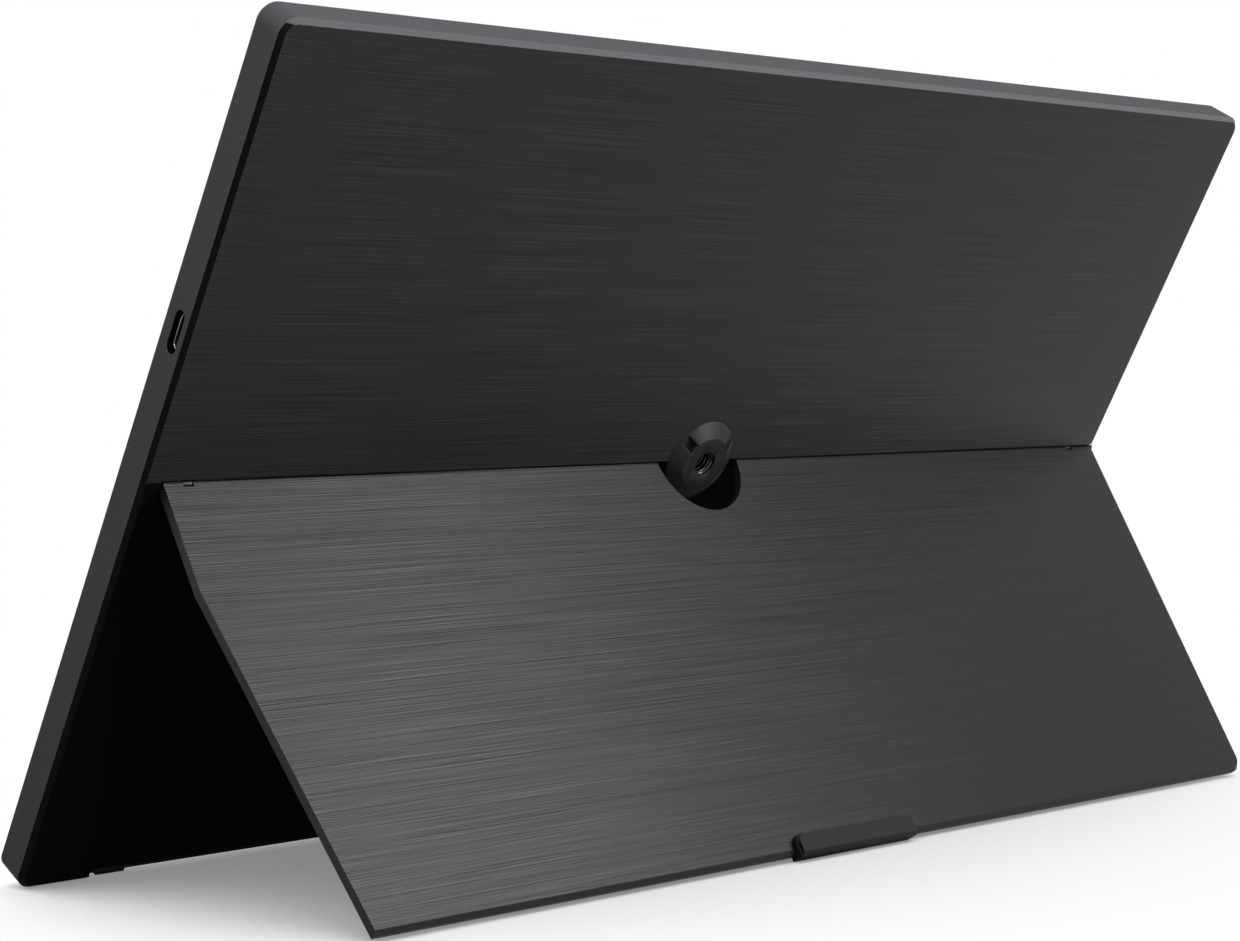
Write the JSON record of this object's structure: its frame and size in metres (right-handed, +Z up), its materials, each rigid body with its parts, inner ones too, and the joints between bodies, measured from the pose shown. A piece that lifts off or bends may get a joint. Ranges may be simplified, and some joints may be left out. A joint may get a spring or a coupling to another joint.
{
  "type": "portable monitor",
  "caption": "Slim portable monitor leaning back on a full-width folding rear kickstand, with a tripod socket at the hinge line, a side port and edge keys.",
  "frame": {"origin": "on the floor, in the middle of the standing object's outline", "axes": "+X along the width towards the side with the port, +Y out of the back, +Z up"},
  "size_m": [0.3602, 0.1208, 0.2027],
  "materials": {
    "case_plastic": "hairline texture above the hinge, fine grain elsewhere",
    "bezel_plastic": "fine matte grain",
    "screen_glass": "anti-glare, dark when off",
    "optical_film": "translucent film",
    "light_guide_acrylic": "clear acrylic",
    "white_film": "white film",
    "lamp_strip": "white carrier with lamps",
    "tray_steel": "bare sheet",
    "circuit_board": "green solder mask",
    "chip_epoxy": "moulded",
    "shield_tin": "tinned sheet",
    "flat_cable": "laminated",
    "socket_plastic": "moulded",
    "port_steel": "bright",
    "port_plastic": "moulded",
    "key_plastic": "satin",
    "switch_plastic": "moulded",
    "hinge_steel": "machined",
    "screw_steel": "blackened",
    "nose_plastic": "fine grain",
    "insert_steel": "bright thread",
    "foot_rubber": "matte",
    "stand_plastic": "smooth edge",
    "stand_brushed": "dark brushed sheet, hairlines along the width"
  },
  "bodies": {
    "display": {"rear_cover": "case_plastic", "front_bezel": "bezel_plastic", "lcd_panel": "screen_glass", "prism_sheet": "optical_film", "diffuser_sheet": "optical_film", "light_guide": "light_guide_acrylic", "reflector_sheet": "white_film", "led_strip": "lamp_strip", "panel_tray": "tray_steel", "timing_board": "circuit_board", "main_board": "circuit_board", "board_chips": "chip_epoxy", "board_shield": "shield_tin", "panel_cable": "flat_cable", "key_cable": "flat_cable", "cable_sockets": "socket_plastic", "usb_shell": "port_steel", "usb_tongue": "port_plastic", "control_board": "circuit_board", "key_switches": "switch_plastic", "hinge_bracket_left": "hinge_steel", "hinge_bracket_right": "hinge_steel", "bracket_screws": "screw_steel", "board_screws": "screw_steel", "tripod_nose": "nose_plastic", "tripod_nut": "insert_steel", "nose_screws": "screw_steel", "bottom_feet": "foot_rubber"},
    "kickstand": {"kickstand_core": "stand_plastic", "kickstand_skin": "stand_brushed", "kickstand_pad": "foot_rubber", "hinge_shaft_left": "hinge_steel", "hinge_shaft_right": "hinge_steel", "stand_screws": "screw_steel"},
    "power_key_body": {"power_key": "key_plastic"},
    "menu_key_body": {"menu_key": "key_plastic"},
    "up_key_body": {"up_key": "key_plastic"},
    "down_key_body": {"down_key": "key_plastic"}
  },
  "joints": [
    {"name": "kickstand_hinge", "type": "hinge", "parent": "display", "child": "kickstand", "pos_m": [0.00025, 0.00089, 0.09878], "axis": [1, 0, 0], "range_deg": [-58.87, 21.13]},
    {"name": "power_key_press", "type": "slide", "parent": "display", "child": "power_key_body", "axis": [1, 0, 0], "range_m": [0, 0.0004], "stiffness_N_per_m": 500, "springref_m": -0.002},
    {"name": "menu_key_press", "type": "slide", "parent": "display", "child": "menu_key_body", "axis": [1, 0, 0], "range_m": [0, 0.0004], "stiffness_N_per_m": 500, "springref_m": -0.002},
    {"name": "up_key_press", "type": "slide", "parent": "display", "child": "up_key_body", "axis": [1, 0, 0], "range_m": [0, 0.0004], "stiffness_N_per_m": 500, "springref_m": -0.002},
    {"name": "down_key_press", "type": "slide", "parent": "display", "child": "down_key_body", "axis": [1, 0, 0], "range_m": [0, 0.0004], "stiffness_N_per_m": 500, "springref_m": -0.002}
  ]
}
